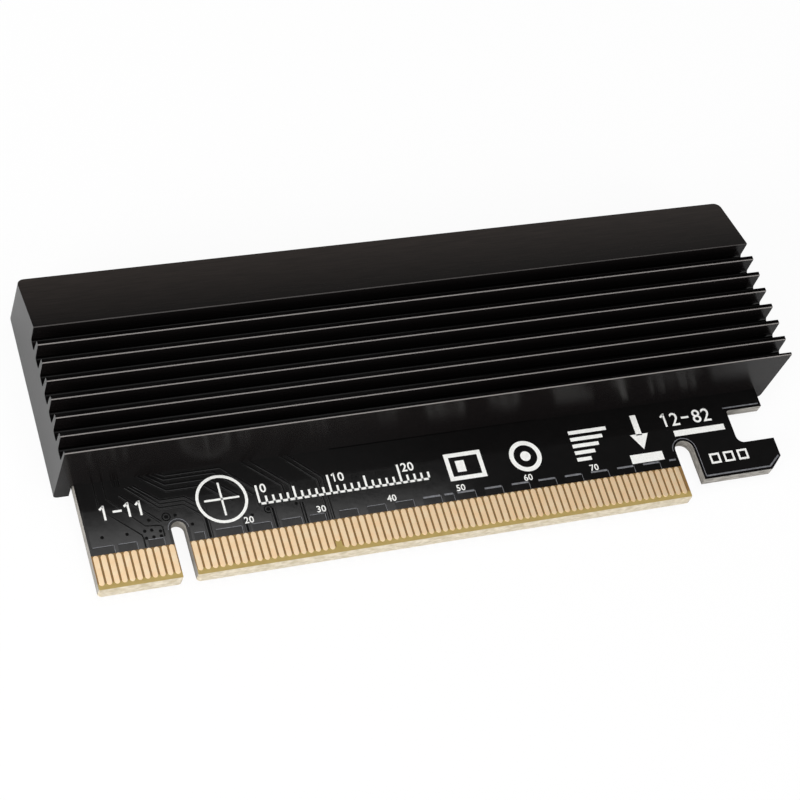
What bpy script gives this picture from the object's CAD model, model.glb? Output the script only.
import math

import bmesh
import bpy
from mathutils import Euler, Matrix, Vector


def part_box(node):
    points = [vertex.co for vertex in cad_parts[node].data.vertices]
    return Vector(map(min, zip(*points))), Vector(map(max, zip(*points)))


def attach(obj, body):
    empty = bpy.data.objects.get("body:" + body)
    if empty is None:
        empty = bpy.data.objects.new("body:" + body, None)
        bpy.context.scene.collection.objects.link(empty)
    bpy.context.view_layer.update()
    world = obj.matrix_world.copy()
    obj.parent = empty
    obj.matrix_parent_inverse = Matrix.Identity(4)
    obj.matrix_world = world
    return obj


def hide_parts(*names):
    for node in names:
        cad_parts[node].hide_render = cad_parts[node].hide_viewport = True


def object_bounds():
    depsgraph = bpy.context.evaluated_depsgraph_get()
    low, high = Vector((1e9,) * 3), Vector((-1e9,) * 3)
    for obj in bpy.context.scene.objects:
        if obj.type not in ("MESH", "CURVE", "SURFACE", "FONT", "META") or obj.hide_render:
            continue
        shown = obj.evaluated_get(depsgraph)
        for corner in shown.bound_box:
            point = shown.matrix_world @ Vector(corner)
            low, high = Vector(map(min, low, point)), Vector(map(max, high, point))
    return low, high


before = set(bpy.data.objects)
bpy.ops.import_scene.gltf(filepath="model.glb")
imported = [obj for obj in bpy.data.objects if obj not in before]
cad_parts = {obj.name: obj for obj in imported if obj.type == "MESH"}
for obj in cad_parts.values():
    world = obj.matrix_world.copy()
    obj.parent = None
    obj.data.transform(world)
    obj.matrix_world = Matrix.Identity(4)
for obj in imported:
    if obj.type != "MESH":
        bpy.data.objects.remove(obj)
cadBox = [list(corner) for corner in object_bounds()]
mm = 0.001

boardLow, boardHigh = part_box("circuit_board")
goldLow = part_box("front_contacts")[0]
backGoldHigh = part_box("back_contacts")[1]
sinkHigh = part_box("heatsink")[1]
contactWide = 0.7  # millimetres, as every size in the dictionaries below
contactOne = goldLow.x + contactWide / 2 * mm
zeroLine = 0.52  # the drawing's zero line lies this far in front of the tab's nose
grainLow, grainHigh = 0.3, 0.7  # most of a grain's values lie between these
print("frame loaded,", len(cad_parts), "nodes")


def cardSpot(across, deep, up=0.0):
    # a place on the card: across from the first contact, deep from the zero line, up from the component face
    return Vector((contactOne + across * mm, boardLow.y + (deep - zeroLine) * mm, boardHigh.z + up * mm))


# materials
def linear(hexColour):
    channels = [int(hexColour[i:i + 2], 16) / 255 for i in (1, 3, 5)]
    return tuple(c / 12.92 if c <= 0.04045 else ((c + 0.055) / 1.055) ** 2.4 for c in channels) + (1.0,)


def newMaterial(name, **amounts):
    material = bpy.data.materials.new(name)
    material.use_nodes = True
    tree = material.node_tree
    shader = tree.nodes["Principled BSDF"]
    for socket, amount in amounts.items():
        shader.inputs[socket.replace("_", " ")].default_value = amount
    return material, tree, shader


def addNode(tree, kind, inputs=(), output=None, **settings):
    # adds a node and gives back its output. An input given as an output is linked, and a hex colour is made linear
    node = tree.nodes.new("ShaderNode" + kind)
    for name, setting in settings.items():
        setattr(node, name, setting)
    for socket, source in dict(inputs).items():
        if isinstance(source, bpy.types.NodeSocket):
            tree.links.new(source, node.inputs[socket])
        else:
            node.inputs[socket].default_value = linear(source) if isinstance(source, str) else source
    return node.outputs[output] if output else next(socket for socket in node.outputs if socket.enabled)


def surfaceOf(tree):
    # where a point lies on the piece and which way the surface faces there, each as x, y and z
    place = addNode(tree, "TexCoord", output="Object")
    normal = addNode(tree, "NewGeometry", output="Normal")
    return [addNode(tree, "SeparateXYZ", {0: source}).node.outputs for source in (place, normal)]


def grainOf(tree, size, detail=2.0):
    # uneven grain, its size in millimetres along x, y and z. Where the real grain is too fine to show, the size
    # is the smallest that still shows
    place = addNode(tree, "TexCoord", output="Object")
    counted = addNode(tree, "Mapping", {"Vector": place, "Scale": [1 / (length * mm) for length in size]})
    return addNode(tree, "TexNoise", {"Vector": counted, "Scale": 1.0, "Detail": detail})


def finishSurface(tree, shader, tone, rough, height, depth, strength):
    tree.links.new(tone, shader.inputs["Base Color"])
    tree.links.new(rough, shader.inputs["Roughness"])
    bump = addNode(tree, "Bump", {"Height": height, "Distance": depth * mm, "Strength": strength})
    tree.links.new(bump, shader.inputs["Normal"])


def makeAnodised():
    # anodised aluminium, milled and dyed: a warm near-black with a fine lengthwise grain. The cutter leaves the
    # fins' front edges bright, the front wall mirrors the board, and the slope pales to its back edge
    look = {
        "dark": "#020202",
        "light": "#050404",
        "slopeDark": "#231f1d",
        "slopeLight": "#342e2b",
        "edge": "#787472",
        "wall": "#0f0d0d",
        "slopeFacing": 0.9,
        "paleStart": 10.5,
        "paleEnd": 21.5,
        "edgeFacing": 0.15,
        "edgeDrop": 0.49,
        "lastFin": 12.2,
        "slopeEdge": 0.22,
        "wallFacing": -0.95,
        "rough": (0.11, 0.16),
        "grainRough": 0.03,
        "wallRough": 0.26,
        "shine": 0.12,
        "smear": 0.7,
        "grain": (4.167, 0.1852, 0.1852),
        "cloud": (10.42, 10.42, 10.42),
        "speck": (0.1111, 0.1111, 0.1111),
        "grainRise": 0.7,
        "relief": (0.004, 0.5),
    }
    material, tree, shader = newMaterial(
        "black_anodised", Metallic=0.0, IOR=1.5, Specular_IOR_Level=look["shine"], Anisotropic=look["smear"]
    )
    spot, facing = surfaceOf(tree)
    grain = grainOf(tree, look["grain"], 3.0)
    cloud = grainOf(tree, look["cloud"])
    speck = grainOf(tree, look["speck"])
    span = {"From Min": grainLow, "From Max": grainHigh}
    mixed = addNode(tree, "MapRange", {"Value": grain, **span, "To Min": 0.2, "To Max": 0.8})
    tone = addNode(tree, "Mix", {0: mixed, 6: look["dark"], 7: look["light"]}, data_type="RGBA")

    slopeTone = addNode(tree, "Mix", {0: mixed, 6: look["slopeDark"], 7: look["slopeLight"]}, data_type="RGBA")
    pale = addNode(
        tree, "MapRange", {"Value": spot["Y"], "From Min": look["paleStart"] * mm, "From Max": look["paleEnd"] * mm}
    )
    sloped = addNode(tree, "Math", {0: facing["Z"], 1: look["slopeFacing"]}, operation="GREATER_THAN")
    share = addNode(tree, "Math", {0: pale, 1: sloped}, operation="MULTIPLY")
    tone = addNode(tree, "Mix", {0: share, 6: tone, 7: slopeTone}, data_type="RGBA")

    # an edge is high up and turned to the front and up; on the slope it is fainter than on the fins
    front = addNode(tree, "Math", {0: facing["Y"], 1: -1.0}, operation="MULTIPLY")
    frontUp = addNode(tree, "Math", {0: facing["Z"], 1: front}, operation="MULTIPLY")
    turned = addNode(tree, "Math", {0: frontUp, 1: look["edgeFacing"]}, operation="GREATER_THAN")
    high = addNode(tree, "Math", {0: spot["Z"], 1: sinkHigh.z - look["edgeDrop"] * mm}, operation="GREATER_THAN")
    edge = addNode(tree, "Math", {0: turned, 1: high}, operation="MINIMUM")
    onFin = addNode(tree, "Math", {0: spot["Y"], 1: look["lastFin"] * mm}, operation="LESS_THAN")
    strength = addNode(tree, "MapRange", {"Value": onFin, "To Min": look["slopeEdge"], "To Max": 1.0})
    share = addNode(tree, "Math", {0: edge, 1: strength}, operation="MULTIPLY")
    tone = addNode(tree, "Mix", {0: share, 6: tone, 7: look["edge"]}, data_type="RGBA")

    wall = addNode(tree, "Math", {0: facing["Y"], 1: look["wallFacing"]}, operation="LESS_THAN")
    tone = addNode(tree, "Mix", {0: wall, 6: tone, 7: look["wall"]}, data_type="RGBA")
    low, high = look["rough"]
    rough = addNode(tree, "MapRange", {"Value": cloud, **span, "To Min": low, "To Max": high})
    more = look["grainRough"]
    uneven = addNode(tree, "MapRange", {"Value": grain, **span, "To Min": -more, "To Max": more})
    rough = addNode(tree, "Math", {0: rough, 1: uneven}, operation="ADD")
    rough = addNode(tree, "Mix", {0: wall, 2: rough, 3: look["wallRough"]})
    # the cutter ran lengthwise, so each face smears what it mirrors across that direction
    across = addNode(tree, "CombineXYZ", {"Y": 0.5, "Z": 1.0})
    tree.links.new(across, shader.inputs["Tangent"])
    height = addNode(tree, "Math", {0: grain, 1: look["grainRise"], 2: speck}, operation="MULTIPLY_ADD")
    finishSurface(tree, shader, tone, rough, height, *look["relief"])
    return material


def makeMask():
    # gloss black solder mask over copper: deep black, with the faint ripple of a sprayed and cured film
    look = {
        "dark": "#0a0a0a",
        "light": "#100f0f",
        "rough": (0.06, 0.1),
        "shine": 0.6,
        "ripple": (1.429, 1.429, 1.429),
        "relief": (0.006, 0.3),
    }
    material, tree, shader = newMaterial("solder_mask", IOR=1.5, Specular_IOR_Level=look["shine"])
    ripple = grainOf(tree, look["ripple"])
    tone = addNode(tree, "Mix", {0: ripple, 6: look["dark"], 7: look["light"]}, data_type="RGBA")
    low, high = look["rough"]
    rough = addNode(tree, "MapRange", {"Value": ripple, "To Min": low, "To Max": high})
    finishSurface(tree, shader, tone, rough, ripple, *look["relief"])
    return material


def makeBoard():
    # glass laminate under gloss black solder mask: olive resin where the mask stops, pale scraped glass on the
    # bevelled nose and grey layers at the cut edges
    look = {
        "mask": "#0c0b0b",
        "olive": "#b29c5f",
        "oliveDark": "#9e8547",
        "laminate": "#8c6a37",
        "laminateDark": "#77572a",
        "nose": "#cec4b0",
        "noseDark": "#b3a78e",
        "edge": "#a29e97",
        "edgeDark": "#6f6b65",
        "contactLine": 1.55,
        "contactFade": 0.3,
        "shortContact": 32.0,
        "shortHalf": 0.42,
        "shortLine": 2.5,
        "noseLine": 1.0,
        "noseFacing": 0.985,
        "maskStart": 5.62,
        "tabEnd": 83.9,
        "maskRough": 0.12,
        "cutRough": 0.55,
        "rippleRough": (-0.02, 0.04),
        "weave": (1.111, 0.5051, 1.111),
        "layers": (1.429, 1.429, 0.2),
        "scraped": (0.909, 0.4, 0.4),
        "ripple": (1.429, 1.429, 1.429),
        "weaveRise": 0.6,
        "relief": (0.006, 0.35),
    }
    material, tree, shader = newMaterial("masked_laminate", IOR=1.5)
    spot, facing = surfaceOf(tree)
    flatness = addNode(tree, "Math", {0: facing["Z"]}, operation="ABSOLUTE")
    side = addNode(tree, "Math", {0: flatness, 1: 0.5}, operation="LESS_THAN")
    onTab = addNode(tree, "Math", {0: spot["X"], 1: cardSpot(look["tabEnd"], 0).x}, operation="LESS_THAN")
    unmasked = addNode(tree, "Math", {0: spot["Y"], 1: cardSpot(0, look["maskStart"]).y}, operation="LESS_THAN")
    bare = addNode(tree, "Math", {0: unmasked, 1: onTab}, operation="MINIMUM")
    front = addNode(tree, "Math", {0: spot["Y"], 1: cardSpot(0, look["noseLine"]).y}, operation="LESS_THAN")
    slanted = addNode(tree, "Math", {0: flatness, 1: look["noseFacing"]}, operation="LESS_THAN")
    nose = addNode(tree, "Math", {0: front, 1: slanted}, operation="MINIMUM")

    # the resin is olive in front of the contacts, and in front of the short one
    start = cardSpot(0, look["contactLine"]).y
    end = cardSpot(0, look["contactLine"] + look["contactFade"]).y
    ahead = addNode(
        tree, "MapRange", {"Value": spot["Y"], "From Min": start, "From Max": end, "To Min": 1.0, "To Max": 0.0}
    )
    away = addNode(tree, "Math", {0: spot["X"], 1: cardSpot(look["shortContact"], 0).x}, operation="SUBTRACT")
    away = addNode(tree, "Math", {0: away}, operation="ABSOLUTE")
    beside = addNode(tree, "Math", {0: away, 1: look["shortHalf"] * mm}, operation="LESS_THAN")
    short = addNode(tree, "Math", {0: spot["Y"], 1: cardSpot(0, look["shortLine"]).y}, operation="LESS_THAN")
    short = addNode(tree, "Math", {0: beside, 1: short}, operation="MINIMUM")
    ahead = addNode(tree, "Math", {0: ahead, 1: short}, operation="MAXIMUM")

    weave = grainOf(tree, look["weave"])
    span = {"From Min": 0.35, "From Max": 0.65}
    layers = addNode(tree, "MapRange", {"Value": grainOf(tree, look["layers"], 3.0), **span})
    scraped = addNode(tree, "MapRange", {"Value": grainOf(tree, look["scraped"], 3.0), **span})
    resin = addNode(tree, "Mix", {0: weave, 6: look["laminateDark"], 7: look["laminate"]}, data_type="RGBA")
    olive = addNode(tree, "Mix", {0: weave, 6: look["oliveDark"], 7: look["olive"]}, data_type="RGBA")
    resin = addNode(tree, "Mix", {0: ahead, 6: resin, 7: olive}, data_type="RGBA")
    noseTone = addNode(tree, "Mix", {0: scraped, 6: look["noseDark"], 7: look["nose"]}, data_type="RGBA")
    edgeTone = addNode(tree, "Mix", {0: layers, 6: look["edgeDark"], 7: look["edge"]}, data_type="RGBA")
    tone = addNode(tree, "Mix", {0: bare, 6: look["mask"], 7: resin}, data_type="RGBA")
    tone = addNode(tree, "Mix", {0: side, 6: tone, 7: edgeTone}, data_type="RGBA")
    tone = addNode(tree, "Mix", {0: nose, 6: tone, 7: noseTone}, data_type="RGBA")

    dull = addNode(tree, "Math", {0: bare, 1: side}, operation="MAXIMUM")
    rough = addNode(tree, "MapRange", {"Value": dull, "To Min": look["maskRough"], "To Max": look["cutRough"]})
    ripple = grainOf(tree, look["ripple"])
    low, high = look["rippleRough"]
    uneven = addNode(tree, "MapRange", {"Value": ripple, "To Min": low, "To Max": high})
    rough = addNode(tree, "Math", {0: rough, 1: uneven}, operation="ADD")
    height = addNode(tree, "Math", {0: weave, 1: look["weaveRise"], 2: ripple}, operation="MULTIPLY_ADD")
    finishSurface(tree, shader, tone, rough, height, *look["relief"])
    return material


def makeGold():
    # hard gold plated over nickel: a pale, slightly peach metal with fine wiping marks along each contact
    look = {
        "pale": "#ffe7c3",
        "deep": "#fedcb0",
        "rough": (0.38, 0.5),
        "wipe": (0.3846, 6.25, 0.3846),
        "patch": (1.429, 1.429, 1.429),
        "relief": (0.004, 0.4),
    }
    material, tree, shader = newMaterial("gold_plating", Metallic=0.7)
    wipe = grainOf(tree, look["wipe"], 3.0)
    span = {"From Min": grainLow, "From Max": grainHigh}
    patch = addNode(tree, "MapRange", {"Value": grainOf(tree, look["patch"]), **span})
    tone = addNode(tree, "Mix", {0: patch, 6: look["deep"], 7: look["pale"]}, data_type="RGBA")
    low, high = look["rough"]
    rough = addNode(tree, "MapRange", {"Value": wipe, **span, "To Min": low, "To Max": high})
    finishSurface(tree, shader, tone, rough, wipe, *look["relief"])
    return material


def makePlain(name, tones, roughness, size, metallic=0.0, depth=0.004, shine=0.5):
    # a moulded, fired, plated or pressed small part: two close tones with a fine surface grain
    material, tree, shader = newMaterial(name, Metallic=metallic, Specular_IOR_Level=shine)
    grain = grainOf(tree, (size, size, size), 3.0)
    patch = addNode(tree, "MapRange", {"Value": grain, "From Min": grainLow, "From Max": grainHigh})
    tone = addNode(tree, "Mix", {0: patch, 6: tones[0], 7: tones[1]}, data_type="RGBA")
    rough = addNode(tree, "MapRange", {"Value": patch, "To Min": roughness[0], "To Max": roughness[1]})
    finishSurface(tree, shader, tone, rough, grain, depth, 0.5)
    return material


finishes = {
    "anodised": makeAnodised(),
    "mask": makeMask(),
    "board": makeBoard(),
    # the mask is thin over the shoulders of a track, so its edges look a little paler
    "trackMask": makePlain("track_mask", ("#121211", "#1c1b1a"), (0.2, 0.3), 0.333),
    # where the copper is etched away the mask lies lower and duller: a deeper black
    "etched": makePlain("etched_gap", ("#020202", "#040404"), (0.5, 0.6), 0.333, shine=0.12),
    # the mask draws thin over the edge of the copper, so the edge shows as a fine grey line
    "rim": makePlain("copper_edge", ("#5e5f63", "#7a7b7f"), (0.3, 0.4), 0.333),
    # white legend ink: slightly chalky, thin, a little uneven
    "ink": makePlain("legend_ink", ("#e6e6e2", "#f6f6f3"), (0.5, 0.65), 0.2, 0.0, 0.006),
    "gold": makeGold(),
    # moulded high-temperature nylon: matt black with a slight mould texture
    "socket": makePlain("moulded_nylon", ("#141414", "#1e1e1e"), (0.42, 0.55), 0.25),
    # solder and tin plating: soft grey metal, a little uneven
    "tin": makePlain("tin_plating", ("#b8b8b6", "#d4d4d2"), (0.25, 0.4), 0.4, 1.0),
    # nickel-plated steel screws: a smooth grey metal
    "steel": makePlain("screw_steel", ("#9c9c9e", "#c2c2c4"), (0.22, 0.34), 0.333, 1.0),
    # tin-plated brass standoffs: a pale, warm metal
    "brass": makePlain("plated_brass", ("#b09a68", "#cdb98a"), (0.25, 0.38), 0.4, 1.0),
    # soft silicone heat pad: blue-grey and matt
    "pad": makePlain("silicone_pad", ("#7e8fa3", "#8f9fb2"), (0.7, 0.85), 0.556, 0.0, 0.02),
    # pressed iron powder of the inductor: dark grey and grainy
    "ferrite": makePlain("pressed_ferrite", ("#1f1f20", "#353536"), (0.5, 0.65), 0.167, 0.0, 0.01),
    # moulded resin of the regulator chip: matt black
    "resin": makePlain("chip_resin", ("#121213", "#1c1c1d"), (0.5, 0.62), 0.2),
    # fired ceramic capacitor bodies: brown with a slight glaze
    "ceramic": makePlain("fired_ceramic", ("#7d6248", "#957a5c"), (0.35, 0.5), 0.25),
    # resistor bodies: black glaze
    "glaze": makePlain("black_glaze", ("#0e0e10", "#1b1b1e"), (0.25, 0.35), 0.25),
}

nodeFinishes = {
    "circuit_board": "board",
    "front_contacts": "gold",
    "back_contacts": "gold",
    "heatsink": "anodised",
    "thermal_pad": "pad",
    "heatsink_screws": "steel",
    "socket_housing": "socket",
    "socket_upper_contacts": "gold",
    "socket_lower_contacts": "gold",
    "socket_tabs": "tin",
    "drive_nuts": "brass",
    "drive_screw": "steel",
    "power_inductor": "ferrite",
    "regulator_chip": "resin",
    "bulk_capacitors": "ceramic",
    "decoupling_capacitors": "ceramic",
    "resistors": "glaze",
    "chip_terminals": "tin",
}
for node, finish in nodeFinishes.items():
    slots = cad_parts[node].data.materials
    slots.clear()
    slots.append(finishes[finish])
print("materials assigned to", len(nodeFinishes), "nodes")


def finishPiece(name, work, material):
    bmesh.ops.recalc_face_normals(work, faces=work.faces)
    mesh = bpy.data.meshes.new(name)
    work.to_mesh(mesh)
    work.free()
    for face in mesh.polygons:
        face.use_smooth = False
    piece = bpy.data.objects.new(name, mesh)
    bpy.context.scene.collection.objects.link(piece)
    mesh.materials.append(material)
    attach(piece, "root")
    return piece


def addCurve(work, curve):
    # adds the mesh of a curve or of words to a bmesh, and gives back its vertices
    holder = bpy.data.objects.new(curve.name, curve)
    mesh = bpy.data.meshes.new_from_object(holder)
    bpy.data.objects.remove(holder)
    before = set(work.verts)
    work.from_mesh(mesh)
    bpy.data.meshes.remove(mesh)
    return [vert for vert in work.verts if vert not in before]


def makeContacts(name, node, base, shortPlace, faceUp):
    # each contact is a strip with full round ends and a softened rim
    fingers = {
        "start": 1.42,
        "end": 5.62,
        "shortStart": 2.45,
        "thick": 0.04,
        "rim": 0.014,
        "firstGroup": 11,
        "secondStart": 13,
        "secondGroup": 71,
        "sides": 12,
        "tilt": 15,
    }
    work = bmesh.new()
    places = list(range(fingers["firstGroup"]))
    places += [fingers["secondStart"] + step for step in range(fingers["secondGroup"])]
    radius = contactWide / 2
    for place in places:
        start = fingers["shortStart"] if place == shortPlace else fingers["start"]
        made = bmesh.ops.create_circle(
            work,
            cap_ends=True,
            segments=fingers["sides"],
            radius=radius / math.cos(math.radians(fingers["tilt"])) * mm,
            matrix=Matrix.Rotation(math.radians(fingers["tilt"]), 4, "Z"),
        )["verts"]
        face = made[0].link_faces[0]
        for vert in made:
            end = fingers["end"] - radius if vert.co.y > 0 else start + radius
            vert.co += cardSpot(place, end) - Vector((0, 0, boardHigh.z))
        grown = bmesh.ops.extrude_face_region(work, geom=[face])["geom"]
        top = [item for item in grown if isinstance(item, bmesh.types.BMVert)]
        rim = [item for item in grown if isinstance(item, bmesh.types.BMEdge)]
        bmesh.ops.translate(work, vec=(0, 0, fingers["thick"] * mm), verts=top)
        bmesh.ops.bevel(
            work,
            geom=rim,
            offset=fingers["rim"] * mm,
            segments=1,
            profile=0.5,
            affect="EDGES",
            material=-1,
        )
    if not faceUp:
        bmesh.ops.scale(work, vec=(1, 1, -1), verts=work.verts)
    bmesh.ops.translate(work, vec=(0, 0, base), verts=work.verts)
    piece = finishPiece(name, work, finishes["gold"])
    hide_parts(node)


makeContacts("front_gold", "front_contacts", goldLow.z, 32, True)
makeContacts("back_gold", "back_contacts", backGoldHigh.z, 0, False)
print("contacts made")


# copper under the mask
def layLines(name, lines, base, thickness, material):
    # low ridges with rounded shoulders that follow a list of (width, path), from a height above the face
    curve = bpy.data.curves.new(name, "CURVE")
    curve.dimensions = "3D"
    curve.bevel_depth = 0.5 * mm
    curve.bevel_resolution = 1
    curve.use_fill_caps = True
    for width, path in lines:
        spline = curve.splines.new("POLY")
        spline.points.add(len(path) - 1)
        for point, (across, deep) in zip(spline.points, path):
            point.co = (*cardSpot(across, deep), 1)
            point.radius = width
    work = bmesh.new()
    addCurve(work, curve)
    bmesh.ops.remove_doubles(work, verts=work.verts, dist=0.0005 * mm)
    for vert in work.verts:
        # the round line is flattened: its top and foot, and its two sides
        rise = (vert.co.z - boardHigh.z) / mm
        level = thickness if rise > 0.01 else 0.0 if rise > -0.01 else -thickness
        vert.co.z = boardHigh.z + (base + level) * mm
    finishPiece(name, work, material)


def arc(middle, radius, start, end, steps=10):
    turns = [math.radians(start + (end - start) * step / steps) for step in range(steps + 1)]
    return [(middle[0] + radius * math.cos(turn), middle[1] + radius * math.sin(turn)) for turn in turns]


def flatShape(name, outline, thickness, rim, material):
    # a thin plate with a softened rim, filled from a closed outline on the component face
    curve = bpy.data.curves.new(name, "CURVE")
    curve.dimensions = "2D"
    curve.fill_mode = "BOTH"
    curve.extrude = (thickness / 2 - rim) * mm
    curve.bevel_depth = rim * mm
    curve.bevel_resolution = 0
    curve.offset = -rim * mm
    spline = curve.splines.new("POLY")
    spline.points.add(len(outline) - 1)
    spline.use_cyclic_u = True
    for point, (across, deep) in zip(spline.points, outline):
        spot = cardSpot(across, deep)
        point.co = (spot.x, spot.y, 0, 1)
    work = bmesh.new()
    addCurve(work, curve)
    bmesh.ops.remove_doubles(work, verts=work.verts, dist=0.0005 * mm)
    bmesh.ops.translate(work, vec=(0, 0, boardHigh.z + thickness / 2 * mm), verts=work.verts)
    finishPiece(name, work, material)


def makePour():
    # the ground copper: it stops short of the board's edges and notches, and leaves windows over the signal contacts
    pour = {
        "left": -0.2,
        "right": 99.15,
        "low": 5.66,
        "windowTop": 6.74,
        "back": 16.2,
        "thick": 0.035,
        "soft": 0.012,
        "pull": 0.38,
        "keyMiddle": 11.52,
        "keyHalf": 1.0,
        "keyTop": 7.69,
        "slotMiddle": 85.31,
        "slotHalf": 1.43,
        "slotTop": 8.0,
        "slotWindow": 82.3,
        "hookLow": 3.55,
        "hookHigh": 7.45,
        "hookCutLeft": 97.3,
        "hookCutHigh": 5.0,
        "hookGapLeft": 93.4,
        "hookGapHigh": 13.5,
        "hookGapCut": 1.4,
        "windows": [
            (-0.2, 2.7), (3.2, 5.7), (7.2, 9.3), (13.3, 14.7), (16.2, 19.8), (21.2, 23.8), (25.2, 28.0), (29.1, 31.3),
            (48.3, 49.7),
        ],
        "pairs": [34, 38, 42, 46, 51, 55, 59, 63, 67, 71, 75, 79],
        "pairBefore": 0.8,
        "pairAfter": 1.85,
        "rimBase": 0.034,
        "rimTall": 0.006,
        "rimInset": 0.1,
        "fineRim": 0.1,
        "boldRim": 0.28,
        "boldFrom": 45,
        "sideRim": 0.07,
        "keyRim": 0.09,
        "slotRim": 0.12,
        "hookRim": 0.24,
        "hookGapRim": 0.2,
    }
    low, top, right = pour["low"], pour["windowTop"], pour["right"]
    pairs = [(pair - pour["pairBefore"], pair + pour["pairAfter"]) for pair in pour["pairs"]]
    windows = sorted(pour["windows"] + pairs)
    keyRadius = pour["keyHalf"] + pour["pull"]
    keyArc = arc((pour["keyMiddle"], pour["keyTop"]), keyRadius, 180, 0)
    keyLeft = pour["keyMiddle"] - keyRadius
    slotRadius = pour["slotHalf"] + pour["pull"]
    slotArc = arc((pour["slotMiddle"], pour["slotTop"]), slotRadius, 180, 0)
    slotLeft = pour["slotMiddle"] - slotRadius
    slotRight = pour["slotMiddle"] + slotRadius
    hookFront = [(slotRight, pour["hookLow"]), (pour["hookCutLeft"], pour["hookLow"]), (right, pour["hookCutHigh"])]
    outline = [(pour["left"], top)]
    for first, last in windows:
        if first > keyLeft and outline[-1][0] < keyLeft:
            outline += [(keyLeft, low), *keyArc, (pour["keyMiddle"] + keyRadius, low)]
        if first > pour["left"]:
            outline += [(first, low), (first, top)]
        outline += [(last, top), (last, low)]
    outline += [(pour["slotWindow"], low), (pour["slotWindow"], top), (slotLeft, top), *slotArc, *hookFront]
    outline += [
        (right, pour["hookHigh"]),
        (pour["hookGapLeft"] + pour["hookGapCut"], pour["hookHigh"]),
        (pour["hookGapLeft"], pour["hookHigh"] + pour["hookGapCut"]),
        (pour["hookGapLeft"], pour["hookGapHigh"]),
        (right, pour["hookGapHigh"]),
        (right, pour["back"]),
        (pour["left"], pour["back"]),
    ]
    flatShape("ground_copper", outline, pour["thick"], pour["soft"], finishes["mask"])

    # only the edges turned to the front stand out
    inset = pour["rimInset"]
    edges = []
    for first, last in windows:
        wide = pour["boldRim"] if first > pour["boldFrom"] else pour["fineRim"]
        edges.append((wide, [(first + inset, top), (last - inset, top)]))
        edges.append((pour["sideRim"], [(last, top), (last, low)]))
    edges.append((pour["boldRim"], [(pour["slotWindow"] + inset, top), (slotLeft - inset, top)]))
    edges.append((pour["keyRim"], keyArc))
    edges.append((pour["slotRim"], slotArc + [(slotRight, pour["hookLow"])]))
    edges.append((pour["hookRim"], hookFront))
    edges.append((pour["hookGapRim"], [(pour["hookGapLeft"], pour["hookGapHigh"]), (right, pour["hookGapHigh"])]))
    layLines("copper_rim", edges, pour["rimBase"], pour["rimTall"], finishes["rim"])


def addRing(work, across, deep, outer, inner=0.0, segments=40, turn=0.0):
    # a ring, or a disc where inner is nothing, one unit thick
    matrix = Matrix.Rotation(turn, 4, "Z")
    if inner:
        loops = []
        for radius in (outer, inner):
            verts = bmesh.ops.create_circle(work, segments=segments, radius=radius, matrix=matrix)["verts"]
            loops += list({edge for vert in verts for edge in vert.link_edges})
        faces = bmesh.ops.bridge_loops(work, edges=loops)["faces"]
    else:
        made = bmesh.ops.create_circle(work, cap_ends=True, segments=segments, radius=outer, matrix=matrix)
        faces = list(made["verts"][0].link_faces)
    low = {vert for face in faces for vert in face.verts}
    grown = bmesh.ops.extrude_face_region(work, geom=faces)["geom"]
    lifted = [item for item in grown if isinstance(item, bmesh.types.BMVert)]
    bmesh.ops.translate(work, vec=(0, 0, 1), verts=lifted)
    bmesh.ops.translate(work, vec=(across, deep, -0.5), verts=list(low) + lifted)


def layOnCard(work, base, thick):
    # takes a drawing in millimetres to its place on the card
    for vert in work.verts:
        vert.co = cardSpot(vert.co.x, vert.co.y, base + (vert.co.z + 0.5) * thick)


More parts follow.
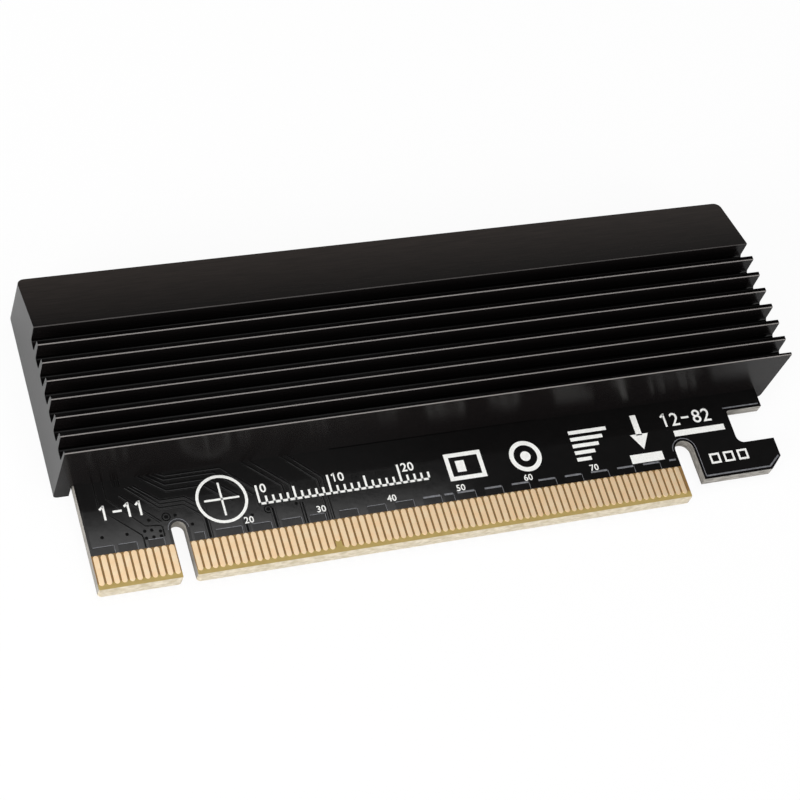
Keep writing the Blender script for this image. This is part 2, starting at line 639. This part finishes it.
def makeTracks():
    # etched gaps in the ground copper, and the fine tracks that run in them
    copper = {
        "base": 0.034,
        "gapTall": 0.006,
        "shoulder": 0.15,
        "shoulderTall": 0.003,
        "trackTall": 0.014,
        # width of the gap, width of the track in it, and their path
        "runs": [
            (0.5, 0.24, [(7.0, 14.55), (10.0, 11.95), (13.3, 11.95), (14.9, 10.6)]),
            (0.5, 0.24, [(6.4, 14.6), (9.9, 11.4), (13.1, 11.4), (14.9, 9.9)]),
            (0.5, 0.24, [(5.9, 14.5), (9.7, 10.85), (12.9, 10.85), (14.9, 9.1)]),
            (0.6, 0.26, [(8.6, 16.0), (11.2, 14.1), (17.0, 14.1), (20.6, 10.9)]),
            (0.6, 0.26, [(7.6, 16.0), (11.2, 13.25), (16.2, 13.25), (19.4, 10.4)]),
            (0.6, 0.26, [(9.4, 16.0), (11.2, 14.85), (18.0, 14.85), (22.4, 10.9)]),
            (0.5, 0.24, [(10.4, 15.9), (11.4, 15.4), (19.0, 15.4), (24.0, 10.6)]),
            (0.5, 0.24, [(19.9, 14.4), (24.3, 10.0)]),
            (0.5, 0.24, [(22.0, 15.8), (26.6, 11.6), (26.6, 9.8)]),
            (0.5, 0.24, [(23.1, 15.8), (27.7, 11.6), (27.7, 9.8)]),
            (0.5, 0.24, [(27.4, 15.9), (31.6, 11.7), (31.6, 5.7)]),
            (0.5, 0.24, [(28.3, 15.9), (32.3, 11.9), (32.3, 5.7)]),
            (0.6, 0.2, [(28.55, 8.8), (28.55, 5.7)]),
        ],
        # wide gaps that hold several tracks, and narrow ones that hold none
        "gaps": [
            (0.2, [(1.91, 15.8), (1.91, 12.0), (6.6, 7.5), (6.7, 7.0), (6.7, 5.7)]),
            (0.2, [(3.2, 15.8), (3.2, 13.2), (7.3, 8.7), (9.3, 8.45), (9.5, 8.2), (9.5, 6.9)]),
            (0.55, [(4.62, 15.8), (4.62, 14.8)]),
            (0.55, [(5.15, 15.8), (5.15, 14.8)]),
            (0.5, [(5.0, 13.4), (9.44, 8.94)]),
            (0.9, [(15.4, 9.9), (15.4, 5.7)]),
            (0.8, [(20.5, 8.6), (20.5, 5.7)]),
            (0.8, [(24.5, 8.6), (24.5, 5.7)]),
        ],
        "tracks": [
            (0.22, [(4.62, 16.0), (4.62, 14.7)]),
            (0.22, [(5.15, 16.0), (5.15, 14.7)]),
            (0.2, [(4.9, 13.5), (9.54, 8.84)]),
            (0.2, [(15.15, 10.1), (15.15, 5.7)]),
            (0.2, [(15.65, 10.1), (15.65, 5.7)]),
            (0.2, [(20.3, 8.6), (20.3, 5.7)]),
            (0.2, [(20.75, 8.6), (20.75, 5.7)]),
            (0.2, [(24.3, 8.6), (24.3, 5.7)]),
            (0.2, [(24.75, 8.6), (24.75, 5.7)]),
        ],
        "holes": [
            (1.44, 8.0), (4.72, 7.94), (7.06, 8.0), (8.0, 8.0), (9.1, 7.7), (7.06, 7.0), (8.06, 7.0), (9.06, 7.0),
            (7.94, 9.44), (11.5, 9.6), (13.44, 8.0), (21.57, 8.0), (27.85, 8.7),
        ],
        "holeRadius": 0.24,
        "ringedHoles": [(10.28, 9.55), (23.9, 8.5)],
        "ringOuter": 0.62,
        "ringInner": 0.45,
        "ringHole": 0.28,
    }
    gaps = copper["gaps"] + [(wide, path) for wide, fine, path in copper["runs"]]
    tracks = copper["tracks"] + [(fine, path) for wide, fine, path in copper["runs"]]
    shoulders = [(wide + copper["shoulder"], path) for wide, path in gaps]
    layLines("gap_shoulders", shoulders, copper["base"], copper["shoulderTall"], finishes["trackMask"])
    layLines("etched_gaps", gaps, copper["base"], copper["gapTall"], finishes["etched"])
    layLines("tracks", tracks, copper["base"], copper["trackTall"], finishes["mask"])
    work = bmesh.new()
    for across, deep in copper["holes"]:
        addRing(work, across, deep, copper["holeRadius"], segments=12)
    for across, deep in copper["ringedHoles"]:
        addRing(work, across, deep, copper["ringOuter"], copper["ringInner"], 20)
        addRing(work, across, deep, copper["ringHole"], segments=12)
    layOnCard(work, copper["base"], copper["gapTall"])
    finishPiece("plated_holes", work, finishes["etched"])


makePour()
makeTracks()
print("copper laid")


# white legend
def addBar(work, left, low, wide, tall):
    made = bmesh.ops.create_cube(work, size=1.0)["verts"]
    bmesh.ops.scale(work, vec=(wide, tall, 1), verts=made)
    bmesh.ops.translate(work, vec=(left + wide / 2, low + tall / 2, 0), verts=made)
    return made


def addFrame(work, left, low, wide, tall, line):
    addBar(work, left, low, wide, line)
    addBar(work, left, low + tall - line, wide, line)
    addBar(work, left, low + line, line, tall - 2 * line)
    addBar(work, left + wide - line, low + line, line, tall - 2 * line)


def addDigit(work, digit, left, low, tall, bold):
    # a digit of the built-in face, whose capitals are 0.73 of its size; a 1 is drawn as a stem with a flag
    if digit == "1":
        line = tall * 0.13 + bold
        stem = left + tall * 0.27
        addBar(work, stem, low, line, tall)
        flag = addBar(work, -line / 2, -tall * 0.32, line, tall * 0.32)
        turn = Matrix.Rotation(math.radians(-50), 3, "Z")
        bmesh.ops.rotate(work, cent=(0, 0, 0), matrix=turn, verts=flag)
        bmesh.ops.translate(work, vec=(stem + line * 0.5, low + tall - line * 0.4, 0), verts=flag)
        return
    curve = bpy.data.curves.new("digit", "FONT")
    curve.body = digit
    curve.size = tall / 0.73
    curve.offset = bold
    curve.resolution_u = 4
    curve.extrude = 0.5
    bmesh.ops.translate(work, vec=(left, low, 0), verts=addCurve(work, curve))


def makeLegend():
    # contact numbers, a millimetre scale, an arrow to the slot and plain marks: nothing that names anything
    legend = {
        "lift": 0.049,
        "thick": 0.01,
        "digitStep": 0.72,
        # digits, left, low, height, how much bolder
        "numbers": [
            ("1", 1.75, 10.3, 2.1, 0.02),
            ("11", 5.0, 10.3, 2.1, 0.02),
            ("12", 83.2, 11.9, 2.1, 0.02),
            ("82", 88.2, 11.9, 2.1, 0.02),
        ],
        "contacts": (20, 30, 40, 50, 60, 70),
        "contactShift": 0.3,
        "contactLow": 6.95,
        "contactTall": 0.95,
        "contactBold": 0.02,
        # left, low, width, height
        "bars": [
            (3.6, 11.2, 1.2, 0.3),
            (15.75, 10.76, 4.8, 0.28),
            (18.01, 8.5, 0.28, 4.8),
            (51.3, 9.7, 1.3, 1.7),
            (76.8, 7.0, 5.0, 1.35),
            (78.85, 11.2, 0.9, 3.2),
            (86.5, 12.8, 1.2, 0.3),
            (84.6, 10.2, 8.0, 0.9),
        ],
        # across, deep, outer radius, inner radius, sides
        "rings": [(18.15, 10.9, 3.5, 3.1, 40), (61.6, 10.6, 2.35, 1.7, 40), (61.6, 10.6, 0.75, 0.0, 24)],
        # left, low, width, height, line
        "frames": [
            (49.9, 8.5, 5.4, 4.1, 0.6),
            (88.6, 5.2, 1.6, 1.6, 0.3),
            (90.8, 5.2, 1.6, 1.6, 0.3),
            (93.0, 5.2, 1.6, 1.6, 0.3),
        ],
        "arrow": (79.3, 10.6, 1.6),
        "scaleLeft": 22.9,
        "scaleLow": 9.25,
        "scaleSteps": 25,
        "scaleLine": 0.3,
        "scaleFoot": (24.3, 0.32),
        "scaleTall": (1.2, 2.0, 2.9),
        # shift, low, height, how much bolder
        "scaleNumber": (0.6, 11.0, 1.3, 0.03),
        "stackLeft": 68.9,
        "stackLow": 8.6,
        "stackSteps": 5,
        "stackRise": 1.05,
        "stackLine": 0.55,
        "stackWide": 2.2,
        "stackWiden": 0.9,
    }
    work = bmesh.new()
    numbers = list(legend["numbers"])
    for contact in legend["contacts"]:
        left = contact + legend["contactShift"]
        numbers.append((str(contact), left, legend["contactLow"], legend["contactTall"], legend["contactBold"]))
    addBar(work, legend["scaleLeft"], legend["scaleLow"], *legend["scaleFoot"])
    for step in range(legend["scaleSteps"]):
        tall = legend["scaleTall"][2 if step % 10 == 0 else 1 if step % 5 == 0 else 0]
        left = legend["scaleLeft"] + step
        addBar(work, left, legend["scaleLow"], legend["scaleLine"], tall)
        if step % 10 == 0:
            shift, *rest = legend["scaleNumber"]
            numbers.append((str(step), left + shift, *rest))
    for digits, left, low, tall, bold in numbers:
        for place, digit in enumerate(digits):
            addDigit(work, digit, left + place * tall * legend["digitStep"], low, tall, bold)
    for bar in legend["bars"]:
        addBar(work, *bar)
    for ring in legend["rings"]:
        addRing(work, *ring)
    for plainFrame in legend["frames"]:
        addFrame(work, *plainFrame)
    for step in range(legend["stackSteps"]):
        low = legend["stackLow"] + step * legend["stackRise"]
        addBar(work, legend["stackLeft"], low, legend["stackWide"] + step * legend["stackWiden"], legend["stackLine"])
    addRing(work, *legend["arrow"], segments=3, turn=math.pi)
    layOnCard(work, legend["lift"], legend["thick"])
    finishPiece("legend", work, finishes["ink"])


makeLegend()
print("legend printed")


# floor, light and camera
def makeStage():
    stage = {
        "width": 4.0,
        "shade": "#f4f4f4",
        "white": 0.92,
        "horizon": 0.6,
        "horizonEnd": 0.1,
        "ceiling": 0.05,
        "ceilingStart": 0.75,
    }
    work = bmesh.new()
    bmesh.ops.create_grid(work, x_segments=1, y_segments=1, size=stage["width"] / 2)
    bmesh.ops.translate(work, vec=(0, 0, cadBox[0][2]), verts=work.verts)
    mesh = bpy.data.meshes.new("floor")
    work.to_mesh(mesh)
    work.free()
    floor = bpy.data.objects.new("floor", mesh)
    bpy.context.scene.collection.objects.link(floor)
    material, tree, shader = newMaterial("pale_floor", Roughness=0.9, Specular_IOR_Level=0.0)
    shader.inputs["Base Color"].default_value = linear(stage["shade"])
    # the camera sees a mix of the lit floor and plain white, so that the shadow under the card stays faint
    white = addNode(tree, "Emission", {"Color": (1, 1, 1, 1), "Strength": 1.0})
    seen = addNode(tree, "LightPath", output="Is Camera Ray")
    share = addNode(tree, "Math", {0: seen, 1: stage["white"]}, operation="MULTIPLY")
    mix = addNode(tree, "MixShader", {0: share, 1: shader.outputs[0], 2: white})
    tree.links.new(mix, tree.nodes["Material Output"].inputs["Surface"])
    mesh.materials.append(material)

    # the room is bright low down and dim overhead, and the camera sees it as plain white
    world = bpy.data.worlds.new("studio")
    bpy.context.scene.world = world
    world.use_nodes = True
    tree = world.node_tree
    background = tree.nodes["Background"]
    background.inputs["Color"].default_value = (1, 1, 1, 1)
    direction = addNode(tree, "TexCoord", output="Generated")
    height = addNode(tree, "SeparateXYZ", {0: direction}, output="Z")
    span = {"From Min": stage["horizonEnd"], "From Max": stage["ceilingStart"]}
    room = addNode(
        tree, "MapRange", {"Value": height, **span, "To Min": stage["horizon"], "To Max": stage["ceiling"]}
    )
    seen = addNode(tree, "LightPath", output="Is Camera Ray")
    strength = addNode(tree, "Math", {0: room, 1: seen}, operation="MAXIMUM")
    tree.links.new(strength, background.inputs["Strength"])


def softBox(name, place, aim, size, watts, spin):
    lamp = bpy.data.lights.new(name, "AREA")
    lamp.shape = "RECTANGLE"
    lamp.size, lamp.size_y = size
    lamp.energy = watts
    item = bpy.data.objects.new(name, lamp)
    item.location = place
    item.rotation_euler = (Vector(aim) - Vector(place)).to_track_quat("-Z", "Y").to_euler()
    item.rotation_euler.z += math.radians(spin)
    bpy.context.scene.collection.objects.link(item)


def makeCamera():
    view = {"place": (-0.113841, -0.133246, 0.267834), "turn": (30.1603, -14.4826, -16.5692), "lens": 104.23}
    camera = bpy.data.objects.new("camera", bpy.data.cameras.new("camera"))
    camera.location = view["place"]
    camera.rotation_euler = Euler([math.radians(angle) for angle in view["turn"]])
    camera.data.lens = view["lens"]
    camera.data.sensor_width = 36
    camera.data.clip_start = 0.01
    bpy.context.scene.collection.objects.link(camera)
    bpy.context.scene.camera = camera


# each soft box: its place and what it faces, in metres, its size, its power in watts and its turn in degrees
softBoxes = {
    "overhead": ((-0.19, -0.103, 0.6), (-0.19, -0.103, 0), (0.856, 0.75), 3.35, -3),
    "front": ((0.25, -0.59, 0.3), (0, 0, 0), (0.5, 0.35), 1.6, 0),
    "left": ((-0.6, -0.3, 0.25), (0, 0, 0), (0.4, 0.4), 3.9, 0),
}
makeStage()
for name, settings in softBoxes.items():
    softBox(name, *settings)
makeCamera()
bpy.context.scene.view_settings.view_transform = "Standard"
print("floor, lights and camera set")
